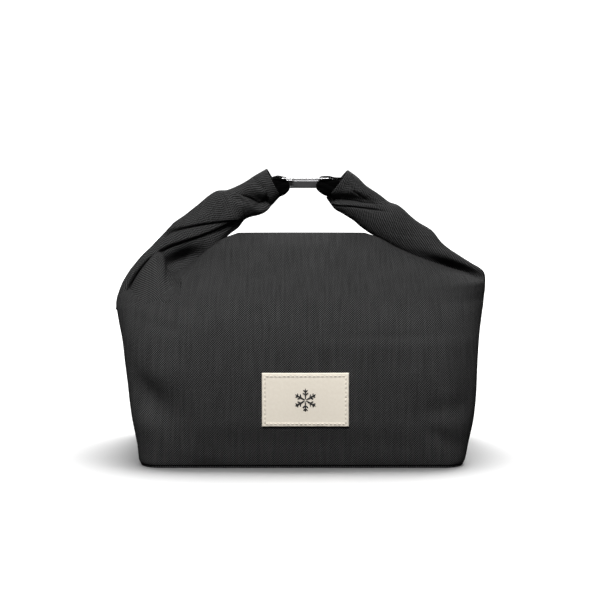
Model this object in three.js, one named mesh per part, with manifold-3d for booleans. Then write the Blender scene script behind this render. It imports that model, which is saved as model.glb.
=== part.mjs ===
// Insulated roll-top lunch bag, in millimetres, +Z up, origin at the middle of the base.
// +X is to the bag's right as seen from the front, and the front faces -Y.
// Soft pieces are plain solids of the right size and place: fabric panels, foam, liner, the rolled
// top and the two handle arms. The arms meet in a steel gate ring, which carries the bag.
import * as THREE from "three";
import { mergeVertices } from "three/addons/utils/BufferGeometryUtils.js";
import Module from "manifold-3d";

const wasm = await Module();
wasm.setup();

// ---------- driving dimensions ----------
const GAP = 0.3; // between pieces that touch
const FABRIC = 1.2; // outer twill with its coating
const FOAM = 4;
const LINER = 0.8;
const BOARD = 1.6;

// The bag's section by height: half width, depth to the front and to the back of the side seams,
// the share of each that its rounded corners take, and how far the front and back stand out.
// Above the shoulders the section is a lens, which closes at the crest.
const levels = [
  { z: 0, width: 120, front: 69, back: 70, cornerWidth: 0.08, cornerDepth: 0.14, crown: 0 },
  { z: 5, width: 122, front: 70, back: 71, cornerWidth: 0.08, cornerDepth: 0.14, crown: 0.4 },
  { z: 24, width: 127, front: 71, back: 72.5, cornerWidth: 0.1, cornerDepth: 0.18, crown: 1.6 },
  { z: 53, width: 130, front: 71, back: 72.5, cornerWidth: 0.14, cornerDepth: 0.28, crown: 2.6 },
  { z: 83, width: 132, front: 69.5, back: 70, cornerWidth: 0.3, cornerDepth: 0.52, crown: 2.6 },
  { z: 105, width: 135.5, front: 65, back: 63, cornerWidth: 0.58, cornerDepth: 0.82, crown: 1.6 },
  { z: 117, width: 137, front: 60, back: 52, cornerWidth: 0.8, cornerDepth: 0.96, crown: 0.8 },
  { z: 127, width: 136.5, front: 53, back: 37, cornerWidth: 0.95, cornerDepth: 0.96, crown: 0 },
  { z: 132, width: 126, front: 49, back: 23, cornerWidth: 1, cornerDepth: 0.96, crown: 0 },
  { z: 138, width: 108, front: 43, back: 2.4, cornerWidth: 1, cornerDepth: 0.96, crown: 0 },
  { z: 145, width: 88, front: 34, back: 1.9, cornerWidth: 1, cornerDepth: 0.96, crown: 0 },
  { z: 153, width: 69, front: 22, back: 1.9, cornerWidth: 1, cornerDepth: 0.96, crown: 0 },
  { z: 160, width: 56, front: 9, back: 1.9, cornerWidth: 1, cornerDepth: 0.96, crown: 0 },
  { z: 163.5, width: 49, front: 1.9, back: 1.9, cornerWidth: 1, cornerDepth: 0.96, crown: 0 },
];
const LINING_TOP = 117; // the foam's and the liner's top, at one of the levels
const BINDING = { halfThickness: 1.6, depth: 3.6 };

const roll = {
  halfLength: 82,
  bottom: 143.5,
  top: 160.5,
  nearY: 3.4,
  thickness: 12,
  drop: 5, // how far the ends turn down
};

const clip = {
  centre: new THREE.Vector3(2, 10, 199.5),
  length: 44,
  width: 18,
  bar: 3.4, // thickness of the bar, seen from above
  height: 6.2,
  corner: 5,
  noseX: -8.6, // the end of the fixed nose, from the clip's centre
  lip: 2.6, // how far the gate's lip reaches under the nose
  lipHeight: 1.7,
  pivotX: 13.5, // the gate's pin, from the clip's centre
  pinRadius: 1,
  knuckleHalfHeight: 1.5,
};

const arm = {
  pivot: new THREE.Vector3(107, 10, 145), // of the right arm; the left arm mirrors it
  halfWidth: 15,
  halfThickness: 6,
  endHalfThickness: 12.6,
  endHalfWidth: 5.4,
  thickensOver: [0.35, 0.78], // the shares of its length, from the root
  narrowsOver: [0.72, 1],
  tip: { out: 10.5, down: 1 }, // from the ring's centre
  knee: { out: 30, down: 3.5 }, // from the ring's centre
  bow: 2, // how far the arm's middle stands above a straight line
  slotHalfWidth: 9.9,
  slotDepth: 3.5, // between the ring's end and the bottom of the slot
};

const loop = {
  halfWidth: 4.2,
  innerRadius: 3.9,
  thickness: 1.3,
  tail: 2.8,
  openReach: THREE.MathUtils.degToRad(56), // how far the open loop reaches round each side of the bar
};

const label = { width: 62.6, height: 39.4, centreX: 2.8, centreZ: 51.4, thickness: 0.7 };
const stitching = { inset: 2.4, width: 0.6, thickness: 0.4 };

// ---------- finishes ----------
const twill = { color: 0x2b2b2c, roughness: 0.9, metalness: 0 };
const webbing = { color: 0x101010, roughness: 0.95, metalness: 0 };
const foam = { color: 0xe8e8e4, roughness: 0.85, metalness: 0 };
const foil = { color: 0xc3c6c8, roughness: 0.4, metalness: 0.2 };
const board = { color: 0xd8d8d2, roughness: 0.6, metalness: 0 };
const steel = { color: 0xb9bbbd, roughness: 0.25, metalness: 1 };
const gateSteel = { color: 0x8c8c8d, roughness: 0.45, metalness: 1 };
const cotton = { color: 0xe6dacb, roughness: 0.9, metalness: 0 };

// ---------- mesh helpers ----------
const group = new THREE.Group();

function addMesh(name, geometry, finish, parent = group) {
  const mesh = new THREE.Mesh(geometry, new THREE.MeshStandardMaterial(finish));
  mesh.name = name;
  parent.add(mesh);
}

// An indexed geometry from points and triangles of point indices.
function geometryFrom(points, triangles) {
  const geometry = new THREE.BufferGeometry();
  geometry.setFromPoints(points);
  geometry.setIndex(triangles.flat());
  geometry.computeVertexNormals();
  return geometry;
}

// A closed solid through rings of points. Each ring turns counter-clockwise seen from the last
// ring's side, so that the faces point out.
function loft(rings) {
  const count = rings[0].length;
  const points = rings.flat();
  const triangles = [];
  for (let row = 0; row < rings.length - 1; row++)
    for (let i = 0; i < count; i++) {
      const a = row * count + i;
      const b = row * count + ((i + 1) % count);
      triangles.push([a, b, b + count], [a, b + count, a + count]);
    }
  const last = (rings.length - 1) * count;
  for (const [start, turned] of [[0, true], [last, false]]) {
    const flat = THREE.ShapeUtils.triangulateShape(flatten(points.slice(start, start + count)), []);
    for (const [a, b, c] of flat)
      triangles.push(turned ? [start + a, start + c, start + b] : [start + a, start + b, start + c]);
  }
  return geometryFrom(points, triangles);
}

// A ring's points in its own plane, for its cap.
function flatten(ring) {
  const centre = ring.reduce((sum, p) => sum.add(p), new THREE.Vector3()).divideScalar(ring.length);
  const normal = new THREE.Vector3();
  ring.forEach((p, i) => {
    const a = p.clone().sub(centre);
    const b = ring[(i + 1) % ring.length].clone().sub(centre);
    normal.add(a.cross(b));
  });
  normal.normalize();
  const across = ring[0].clone().sub(centre).normalize();
  const up = normal.clone().cross(across);
  return ring.map((p) => {
    const from = p.clone().sub(centre);
    return new THREE.Vector2(from.dot(across), from.dot(up));
  });
}

// A plate between two grids of points. Columns crossed with rows point to the outer grid's side.
function plate(outer, inner) {
  const rows = outer.length;
  const columns = outer[0].length;
  const points = [...outer.flat(), ...inner.flat()];
  const near = (row, column) => row * columns + column;
  const far = (row, column) => rows * columns + near(row, column);
  const triangles = [];
  const quad = (a, b, c, d) => triangles.push([a, b, c], [a, c, d]);
  for (let row = 0; row < rows - 1; row++)
    for (let column = 0; column < columns - 1; column++) {
      const corners = [[row, column], [row, column + 1], [row + 1, column + 1], [row + 1, column]];
      quad(...corners.map((at) => near(...at)));
      // the same diagonal as the outer side's, so that neighbouring layers nest
      const [a, b, c, d] = corners.map((at) => far(...at));
      quad(a, d, c, b);
    }
  for (let column = 0; column < columns - 1; column++) {
    quad(far(0, column), far(0, column + 1), near(0, column + 1), near(0, column));
    const top = rows - 1;
    quad(near(top, column), near(top, column + 1), far(top, column + 1), far(top, column));
  }
  for (let row = 0; row < rows - 1; row++) {
    quad(near(row, 0), near(row + 1, 0), far(row + 1, 0), far(row, 0));
    const end = columns - 1;
    quad(near(row, end), far(row, end), far(row + 1, end), near(row + 1, end));
  }
  return geometryFrom(points, triangles);
}

function toManifold(geometry) {
  const bare = geometry.clone();
  bare.deleteAttribute("normal");
  bare.deleteAttribute("uv");
  const merged = mergeVertices(bare, 1e-4);
  const vertProperties = new Float32Array(merged.attributes.position.array);
  const triVerts = new Uint32Array(merged.index.array);
  return new wasm.Manifold(new wasm.Mesh({ numProp: 3, vertProperties, triVerts }));
}

function fromManifold(solid) {
  const made = solid.getMesh();
  const geometry = new THREE.BufferGeometry();
  geometry.setAttribute("position", new THREE.BufferAttribute(made.vertProperties, 3));
  geometry.setIndex(new THREE.BufferAttribute(made.triVerts, 1));
  geometry.computeVertexNormals();
  return geometry;
}

const CUT = 1; // how far a cutting solid runs past what it cuts

// A block between two values on each axis.
function block(x, y, z) {
  const size = [x, y, z].map(([from, to]) => Math.abs(to - from));
  const middle = [x, y, z].map(([from, to]) => (from + to) / 2);
  return toManifold(new THREE.BoxGeometry(...size).translate(...middle));
}

function upright(radius, height, x, y, sides = 24) {
  const cylinder = new THREE.CylinderGeometry(radius, radius, height, sides);
  return toManifold(cylinder.rotateX(Math.PI / 2).translate(x, y, 0));
}

// Values from one number to another, both included.
function spaced(from, to, steps) {
  return Array.from({ length: steps + 1 }, (_, i) => THREE.MathUtils.lerp(from, to, i / steps));
}

// A closed outline of half size 1. A power of 1 gives a circle, and less gives squarer corners.
function softSquare(sides, power) {
  const shaped = (value) => Math.sign(value) * Math.abs(value) ** power;
  return Array.from({ length: sides }, (_, i) => {
    const angle = (2 * Math.PI * (i + 0.5)) / sides;
    return new THREE.Vector2(shaped(Math.cos(angle)), shaped(Math.sin(angle)));
  });
}

// ---------- the bag's outer surface ----------
const SEAM_GAP = GAP / 2; // each half stands off the side seams' plane by this
const CORNER_STEPS = 4;
const FRONT_STEPS = 6;

// The section's sizes at a height, read straight between two levels.
function sizesAt(z) {
  const next = Math.max(1, levels.findIndex((level) => level.z >= z));
  const [below, above] = [levels[next - 1], levels[next]];
  const share = (z - below.z) / (above.z - below.z);
  const between = (name) => THREE.MathUtils.lerp(below[name], above[name], share);
  return Object.fromEntries(Object.keys(below).map((name) => [name, between(name)]));
}

// Half of the section at a height, from one side seam to the other, counter-clockwise seen from
// above. The front half is on the -Y side. Every layer is the same curve, brought in by inset, and
// seamRoom leaves more room at the seams.
function halfSection(back, z, inset, seamRoom = 0) {
  const sizes = sizesAt(z);
  const width = sizes.width - inset;
  const depth = (back ? sizes.back : sizes.front) - inset;
  const cornerWidth = width * sizes.cornerWidth;
  const cornerDepth = depth * sizes.cornerDepth;
  const corner = Array.from({ length: CORNER_STEPS + 1 }, (_, i) => {
    const angle = (Math.PI / 2) * (i / CORNER_STEPS);
    const x = width - cornerWidth * (1 - Math.cos(angle));
    return new THREE.Vector2(x, depth - cornerDepth * (1 - Math.sin(angle)));
  });
  const flat = Array.from({ length: FRONT_STEPS - 1 }, (_, i) => {
    const across = 1 - (2 * (i + 1)) / FRONT_STEPS;
    const crown = sizes.crown * Math.cos((Math.PI / 2) * across);
    return new THREE.Vector2((width - cornerWidth) * across, depth + crown);
  });
  const mirrored = corner.map((p) => new THREE.Vector2(-p.x, p.y)).reverse();
  const seam = new THREE.Vector2(width, 0);
  const run = [seam, ...corner, ...flat, ...mirrored, new THREE.Vector2(-width, 0)];
  const turn = back ? 1 : -1;
  return run.map((p) => new THREE.Vector3(turn * p.x, turn * (Math.max(p.y, seamRoom) + SEAM_GAP), z));
}

const wholeSection = (z, inset) => [...halfSection(false, z, inset), ...halfSection(true, z, inset)];

// The heights of the levels between two heights, with both ends.
function levelsBetween(bottom, top) {
  const between = levels.map((level) => level.z).filter((z) => z > bottom + 0.5 && z < top - 0.5);
  return [bottom, ...between, top];
}

// Half of the wall between two heights.
function wall(back, bottom, top, inset, thickness, seamRoom = 0) {
  const grid = (depth) => levelsBetween(bottom, top).map((z) => halfSection(back, z, depth, seamRoom));
  return plate(grid(inset), grid(inset + thickness));
}

function slab(bottom, thickness, inset) {
  const at = (z) => wholeSection(bottom, inset).map((p) => p.setZ(z));
  return loft([at(bottom), at(bottom + thickness)]);
}

// ---------- base, insulation and liner ----------
const crestHeight = levels.at(-1).z;
const boardBottom = FABRIC + GAP;
const baseFoamBottom = boardBottom + BOARD + GAP;
const linerBottom = baseFoamBottom + FOAM + GAP;
const foamInset = FABRIC + GAP;
const linerInset = foamInset + FOAM + GAP;

addMesh("base_panel", slab(0, FABRIC, 0), twill);
addMesh("base_board", slab(boardBottom, BOARD, foamInset), board);
addMesh("base_foam", slab(baseFoamBottom, FOAM, foamInset), foam);

const bindingRoom = BINDING.halfThickness + GAP;
addMesh("front_foam", wall(false, linerBottom, LINING_TOP, foamInset, FOAM, bindingRoom), foam);
addMesh("back_foam", wall(true, linerBottom, LINING_TOP, foamInset, FOAM, bindingRoom), foam);

function seamBinding(sign) {
  const rings = levelsBetween(linerBottom, LINING_TOP).map((z) => {
    const outer = sign * (sizesAt(z).width - foamInset);
    const inner = outer - sign * BINDING.depth;
    const y = BINDING.halfThickness;
    const ring = [[inner, -y], [outer, -y], [outer, y], [inner, y]];
    return (sign > 0 ? ring : ring.reverse()).map(([x, side]) => new THREE.Vector3(x, side, z));
  });
  return loft(rings);
}
addMesh("left_seam_binding", seamBinding(-1), webbing);
addMesh("right_seam_binding", seamBinding(1), webbing);

const linerLevels = levelsBetween(linerBottom, LINING_TOP);
const linerOutside = loft(linerLevels.map((z) => wholeSection(z, linerInset)));
const linerFloor = linerBottom + LINER;
const linerInside = loft([linerFloor, ...linerLevels.slice(1), LINING_TOP + 1].map((z) =>
  wholeSection(Math.min(z, LINING_TOP), linerInset + LINER).map((p) => p.setZ(z))));
addMesh("liner", fromManifold(toManifold(linerOutside).subtract(toManifold(linerInside))), foil);

// ---------- rolled top ----------
// A flat roll that stands behind the crest.
const ROLL_SIDES = 16;
const ROLL_POWER = 0.5;
const ROLL_STEPS = 8;

function rollRing(x) {
  const drop = (roll.drop / 2) * (x / roll.halfLength) ** 2;
  const middle = (roll.bottom + roll.top) / 2 - drop;
  const half = (roll.top - roll.bottom) / 2 - drop;
  const y = roll.nearY + roll.thickness / 2;
  return softSquare(ROLL_SIDES, ROLL_POWER).map((p) =>
    new THREE.Vector3(x, y + (p.x * roll.thickness) / 2, middle + p.y * half));
}

// ---------- handle arms ----------
// An arm runs from its round root at the shoulder to the ring, where its layers open into two
// tongues with the ring's end between them.
const ARM_SIDES = 16;
const ARM_POWER = 0.7;
const ARM_STEPS = 9;
const ROOT_STEPS = 3;
const ROOT_FIRST = 0.35; // the root's first ring, in steps from its end

function armCurve(sign) {
  const fromClip = ({ out, down }) => clip.centre.clone().add(new THREE.Vector3(sign * out, 0, -down));
  const root = new THREE.Vector3(sign * arm.pivot.x, arm.pivot.y, arm.pivot.z);
  const knee = fromClip(arm.knee);
  const middle = root.clone().lerp(knee, 0.5).add(new THREE.Vector3(0, 0, arm.bow));
  return new THREE.CatmullRomCurve3([root, middle, knee, fromClip(arm.tip)]);
}

function armRing(centre, tangent, halfWidth, halfThickness, sign) {
  const ahead = new THREE.Vector3(tangent.x, 0, tangent.z).normalize();
  const up = new THREE.Vector3(-ahead.z, 0, ahead.x).multiplyScalar(-sign);
  const across = new THREE.Vector3(0, 1, 0);
  return softSquare(ARM_SIDES, ARM_POWER).map((p) => centre.clone()
    .addScaledVector(across, p.x * halfThickness)
    .addScaledVector(up, -sign * p.y * halfWidth));
}

// An arm's solid, grown all round by clearance.
function armSolid(sign, clearance = 0) {
  const curve = armCurve(sign);
  const rootTangent = curve.getTangent(0);
  const rootWidth = arm.halfWidth + clearance;
  const rings = [];
  for (let step = 0; step < ROOT_STEPS; step++) {
    const back = rootWidth * Math.cos((Math.PI / 2) * ((step + ROOT_FIRST) / ROOT_STEPS));
    const width = Math.sqrt(rootWidth ** 2 - back ** 2);
    const centre = curve.getPoint(0).addScaledVector(rootTangent, -back);
    rings.push(armRing(centre, rootTangent, width, arm.halfThickness + clearance, sign));
  }
  for (const share of spaced(0, 1, ARM_STEPS)) {
    const spread = THREE.MathUtils.smoothstep(share, ...arm.thickensOver);
    const narrowing = THREE.MathUtils.smoothstep(share, ...arm.narrowsOver);
    const thickness = THREE.MathUtils.lerp(arm.halfThickness, arm.endHalfThickness, spread);
    const width = THREE.MathUtils.lerp(arm.halfWidth, arm.endHalfWidth, narrowing);
    const [centre, tangent] = [curve.getPointAt(share), curve.getTangentAt(share)];
    rings.push(armRing(centre, tangent, width + clearance, thickness + clearance, sign));
  }
  return toManifold(loft(rings));
}

// Where an arm's slot ends, past the ring's end.
const slotEndX = (sign) => clip.centre.x + sign * (clip.length / 2 + arm.slotDepth);

// The room for the ring's end between an arm's two tongues.
function armSlot(sign) {
  const { y, z } = clip.centre;
  const reach = clip.length;
  return block([slotEndX(sign) - sign * 2 * reach, slotEndX(sign)],
    [y - arm.slotHalfWidth, y + arm.slotHalfWidth], [z - reach, z + reach]);
}

addMesh("left_arm", fromManifold(armSolid(-1).subtract(armSlot(-1))), twill);
addMesh("right_arm", fromManifold(armSolid(1).subtract(armSlot(1))), twill);

// ---------- outer panels and rolled top, with room for the arms ----------
const ARM_CLEARANCE = 0.6;
const ROOT_CLEARANCE = 1.5;
const ROOT_SIDES = 64;

// The arm at rest, and the round room that its root turns in.
function armRoomOn(sign) {
  const radius = arm.halfWidth + ROOT_CLEARANCE;
  const depth = 2 * (arm.halfThickness + ARM_CLEARANCE);
  const round = new THREE.CylinderGeometry(radius, radius, depth, ROOT_SIDES)
    .translate(sign * arm.pivot.x, arm.pivot.y, arm.pivot.z);
  return armSolid(sign, ARM_CLEARANCE).add(toManifold(round));
}

const armRoom = armRoomOn(-1).add(armRoomOn(1));
const withArmRoom = (geometry) => fromManifold(toManifold(geometry).subtract(armRoom));
const rollRings = spaced(-roll.halfLength, roll.halfLength, ROLL_STEPS).map(rollRing);
addMesh("front_panel", wall(false, boardBottom, crestHeight, 0, FABRIC), twill);
addMesh("back_panel", withArmRoom(wall(true, boardBottom, crestHeight, 0, FABRIC)), twill);
addMesh("top_roll", withArmRoom(loft(rollRings)), twill);

// ---------- webbing loops ----------
// Each loop is a band round one of the ring's end bars, with a tail that is sewn into the arm.
// The left band is closed. The right one is open towards the ring's middle, because both arms hold
// the ring, and it has to leave one of them before they can swing.
const LOOP_STEPS = 14;

function bandShape(open) {
  const outer = loop.innerRadius + loop.thickness;
  const band = new THREE.Shape();
  if (open) {
    band.absarc(0, 0, outer, -loop.openReach, loop.openReach, false);
    band.absarc(0, 0, loop.innerRadius, loop.openReach, -loop.openReach, true);
    return band;
  }
  band.absarc(0, 0, outer, 0, 2 * Math.PI);
  const hole = new THREE.Path();
  hole.absarc(0, 0, loop.innerRadius, 0, 2 * Math.PI, true);
  band.holes.push(hole);
  return band;
}

function loopSolid(sign, open) {
  const { x, y, z } = clip.centre;
  const barX = x + sign * (clip.length / 2 - clip.bar / 2);
  const band = new THREE.ExtrudeGeometry(bandShape(open), {
    depth: 2 * loop.halfWidth, bevelEnabled: false, curveSegments: LOOP_STEPS,
  });
  band.rotateX(Math.PI / 2).translate(barX, y + loop.halfWidth, z);
  const tailStart = barX + sign * (loop.innerRadius + loop.thickness / 4);
  const tail = block([tailStart, slotEndX(sign) - sign * GAP],
    [y - loop.halfWidth, y + loop.halfWidth], [z - loop.tail / 2, z + loop.tail / 2]);
  return fromManifold(toManifold(band).add(tail));
}
addMesh("left_loop", loopSolid(-1, false), webbing);
addMesh("right_loop", loopSolid(1, true), webbing);

// ---------- gate ring ----------
// The ring is a rounded rectangle of flat bar. Its front bar opens: the nose is fixed at the left,
// and the gate turns on a pin at the right, inwards.
function roundedRectangle(width, depth, radius) {
  const shape = new THREE.Shape();
  const x = width / 2 - radius;
  const y = depth / 2 - radius;
  shape.absarc(x, y, radius, 0, Math.PI / 2);
  shape.absarc(-x, y, radius, Math.PI / 2, Math.PI);
  shape.absarc(-x, -y, radius, Math.PI, 1.5 * Math.PI);
  shape.absarc(x, -y, radius, 1.5 * Math.PI, 2 * Math.PI);
  return shape;
}

// A bar along X with its long edges and ends eased.
function easedBar(from, to, depth, height, y) {
  const ease = 0.5;
  const section = roundedRectangle(depth - 2 * ease, height - 2 * ease, ease);
  const bar = new THREE.ExtrudeGeometry(section, {
    depth: to - from - 2 * ease, bevelEnabled: true, bevelSize: ease, bevelThickness: ease,
    bevelSegments: 3, curveSegments: 3,
  });
  return toManifold(bar.rotateX(Math.PI / 2).rotateZ(Math.PI / 2).translate(from + ease, y, 0));
}

const EDGE = 0.4; // the frame's rounded edges
const PIN_CLEARANCE = 0.12;
const EAR_WALL = 0.6; // how far the pin's ears stand out past the bar
const KNUCKLE_CLEARANCE = 0.2;
const EASE = 0.1; // how much smaller the gate is than the frame's bar, on each side

const halfHeight = clip.height / 2;
const halfBar = clip.bar / 2;
const frontBarY = -(clip.width - clip.bar) / 2;
const barDepth = [frontBarY - halfBar - CUT, frontBarY + halfBar + CUT];
const lipTop = -halfHeight + clip.lipHeight;
const earRadius = halfBar + EAR_WALL;
const knuckleRoomHalf = clip.knuckleHalfHeight + KNUCKLE_CLEARANCE;

const ringShape = roundedRectangle(clip.length, clip.width, clip.corner);
ringShape.holes.push(roundedRectangle(
  clip.length - 2 * clip.bar, clip.width - 2 * clip.bar, clip.corner - clip.bar));
const ringGeometry = new THREE.ExtrudeGeometry(ringShape, {
  depth: clip.height - 2 * EDGE, bevelEnabled: true, bevelSize: EDGE, bevelThickness: EDGE,
  bevelOffset: -EDGE, bevelSegments: 3, curveSegments: 14,
}).translate(0, 0, -halfHeight + EDGE);

const opening = block([clip.noseX, clip.pivotX], barDepth, [-halfHeight - CUT, halfHeight + CUT]);
const lipRoom = block([clip.noseX - clip.lip - CUT, clip.noseX + CUT], barDepth,
  [-halfHeight - CUT, lipTop + GAP]);
const knuckleRoom = upright(halfBar + GAP, 2 * knuckleRoomHalf, clip.pivotX, frontBarY)
  .add(block([clip.pivotX - 2 * clip.bar, clip.pivotX], barDepth, [-knuckleRoomHalf, knuckleRoomHalf]));
const pinHole = upright(clip.pinRadius + PIN_CLEARANCE, clip.height + 2 * CUT, clip.pivotX, frontBarY);
const frameSolid = toManifold(ringGeometry)
  .subtract(opening)
  .subtract(lipRoom)
  .add(upright(earRadius, clip.height - 2 * EDGE, clip.pivotX, frontBarY))
  .subtract(knuckleRoom)
  .subtract(pinHole);

const gateStart = clip.noseX + GAP;
const gateEnd = clip.pivotX - earRadius - GAP - EASE;
const gateDepth = [frontBarY - halfBar + EASE, frontBarY + halfBar - EASE];
const gateBar = easedBar(gateStart, gateEnd, clip.bar - 2 * EASE, clip.height - 2 * EASE, frontBarY);
const gateLip = block([gateStart - clip.lip, gateStart + CUT], gateDepth, [-halfHeight + EASE, lipTop]);
const knuckle = upright(halfBar, 2 * clip.knuckleHalfHeight, clip.pivotX, frontBarY)
  .add(block([gateEnd - CUT, clip.pivotX], gateDepth, [-clip.knuckleHalfHeight, clip.knuckleHalfHeight]));
const gateSolid = gateBar.add(gateLip).add(knuckle).subtract(pinHole);

const gatePin = new THREE.CylinderGeometry(clip.pinRadius, clip.pinRadius, clip.height - 2 * EASE, 24)
  .rotateX(Math.PI / 2).translate(clip.pivotX, frontBarY, 0);

// A leaf spring on the gate's inner face, its heel at the knuckle.
const leaf = { startGap: 9, endGap: 0.6, thickness: 0.4, height: 2.6 };
const leafStart = clip.noseX + leaf.startGap;
const leafEnd = clip.pivotX - earRadius - leaf.endGap;
const gateSpring = new THREE.BoxGeometry(leafEnd - leafStart, leaf.thickness, leaf.height)
  .translate((leafStart + leafEnd) / 2, frontBarY + halfBar + GAP + leaf.thickness / 2, 0);

const clipGroup = new THREE.Group();
clipGroup.position.copy(clip.centre);
group.add(clipGroup);
addMesh("clip_frame", fromManifold(frameSolid), steel, clipGroup);
addMesh("clip_gate", fromManifold(gateSolid), gateSteel, clipGroup);
addMesh("gate_pin", gatePin, steel, clipGroup);
addMesh("gate_spring", gateSpring, steel, clipGroup);

// ---------- label ----------
// A cotton label that lies on the front panel and follows its crown.
const LABEL_COLUMNS = 6;
const LABEL_ROWS = 4;
const LABEL_STAND = 0.4; // clear of the panel's facets

// The front panel's outer surface, where the section is flat between its corners.
function frontY(x, z) {
  const sizes = sizesAt(z);
  const across = x / (sizes.width * (1 - sizes.cornerWidth));
  return -(SEAM_GAP + sizes.front + sizes.crown * Math.cos((Math.PI / 2) * across));
}

// A rectangle that lies on the front panel, from stand to stand + thickness off it.
function frontPatch(width, height, stand, thickness) {
  const rows = spaced(label.centreZ - height / 2, label.centreZ + height / 2, LABEL_ROWS);
  const columns = spaced(label.centreX - width / 2, label.centreX + width / 2, LABEL_COLUMNS);
  const grid = (off) => rows.map((z) => columns.map((x) => new THREE.Vector3(x, frontY(x, z) - off, z)));
  return plate(grid(stand + thickness), grid(stand));
}

addMesh("label", frontPatch(label.width, label.height, LABEL_STAND, label.thickness), cotton);

const threadStand = LABEL_STAND + label.thickness + GAP;
const threadWidth = label.width - 2 * stitching.inset;
const threadHeight = label.height - 2 * stitching.inset;
const insideWidth = threadWidth / 2 - stitching.width;
const insideHeight = threadHeight / 2 - stitching.width;
const insideThread = block([label.centreX - insideWidth, label.centreX + insideWidth],
  [frontY(label.centreX, label.centreZ) - label.height, 0],
  [label.centreZ - insideHeight, label.centreZ + insideHeight]);
const threadPatch = frontPatch(threadWidth, threadHeight, threadStand, stitching.thickness);
addMesh("label_stitching", fromManifold(toManifold(threadPatch).subtract(insideThread)), cotton);

export default group;
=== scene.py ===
import math

import bpy
import numpy as np
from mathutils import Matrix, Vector


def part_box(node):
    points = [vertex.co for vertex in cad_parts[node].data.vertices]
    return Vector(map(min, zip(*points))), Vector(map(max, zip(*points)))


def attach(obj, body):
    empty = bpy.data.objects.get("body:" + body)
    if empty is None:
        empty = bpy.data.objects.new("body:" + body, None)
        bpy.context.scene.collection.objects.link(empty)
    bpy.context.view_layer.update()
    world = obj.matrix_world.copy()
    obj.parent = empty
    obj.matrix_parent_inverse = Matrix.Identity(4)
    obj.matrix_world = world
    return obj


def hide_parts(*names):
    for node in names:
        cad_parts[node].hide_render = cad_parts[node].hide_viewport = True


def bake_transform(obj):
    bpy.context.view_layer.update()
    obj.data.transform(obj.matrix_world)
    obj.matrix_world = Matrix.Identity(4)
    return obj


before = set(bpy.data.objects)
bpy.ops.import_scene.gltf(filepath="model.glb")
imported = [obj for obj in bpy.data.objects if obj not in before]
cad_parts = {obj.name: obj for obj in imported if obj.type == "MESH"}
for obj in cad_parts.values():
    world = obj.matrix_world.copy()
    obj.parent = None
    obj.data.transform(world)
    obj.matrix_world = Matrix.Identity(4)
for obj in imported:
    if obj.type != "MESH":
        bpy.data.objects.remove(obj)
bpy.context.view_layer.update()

MM = 0.001
rng = np.random.default_rng(7)

# ---------- camera, floor and light ----------
LOOK_AT = Vector((-1.1, 0, 113)) * MM
DISTANCE = 1.8
ELEVATION = math.radians(8)
VIEW_WIDTH = 0.447
SENSOR = 36


def make_camera():
    data = bpy.data.cameras.new("camera")
    data.sensor_width = SENSOR
    data.lens = SENSOR * DISTANCE / VIEW_WIDTH
    camera = bpy.data.objects.new("camera", data)
    back = Vector((0, -math.cos(ELEVATION), math.sin(ELEVATION)))
    camera.location = LOOK_AT + back * DISTANCE
    camera.rotation_euler = (-back).to_track_quat("-Z", "Y").to_euler()
    bpy.context.collection.objects.link(camera)
    bpy.context.scene.camera = camera


def soft_box(name, place, size, power):
    data = bpy.data.lights.new(name, "AREA")
    data.shape = "RECTANGLE"
    data.size, data.size_y = size
    data.energy = power
    light = bpy.data.objects.new(name, data)
    light.location = place
    light.rotation_euler = (Vector(LIGHTS_AIM) - Vector(place)).to_track_quat("-Z", "Y").to_euler()
    bpy.context.collection.objects.link(light)
    return light


# Each soft box: name, place, size, power, and whether its light leaves the floor out (EXCLUDE) or
# falls on the floor alone (INCLUDE).
SOFT_BOXES = [
    ("front_box", (-0.2, -1.6, 1.75), (1.0, 0.8), 56, "EXCLUDE"),
    ("back_box", (0.3, 2.0, 1.3), (1.0, 0.8), 32, "EXCLUDE"),
    ("floor_box", (0.1, 0.5, 1.7), (1.2, 1.0), 35, "INCLUDE"),
]
LIGHTS_AIM = (0, 0, 0.1)
GLOW_START, GLOW_END, GLOW = 0.1, 1.1, 0.75  # the floor's glow, by distance from the bag's middle
SKY = ((0.0, 0.03), (0.02, 0.17), (0.3, 0.17), (0.7, 1.0))  # brightness by height
SKY_STRENGTH = 0.52


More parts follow.
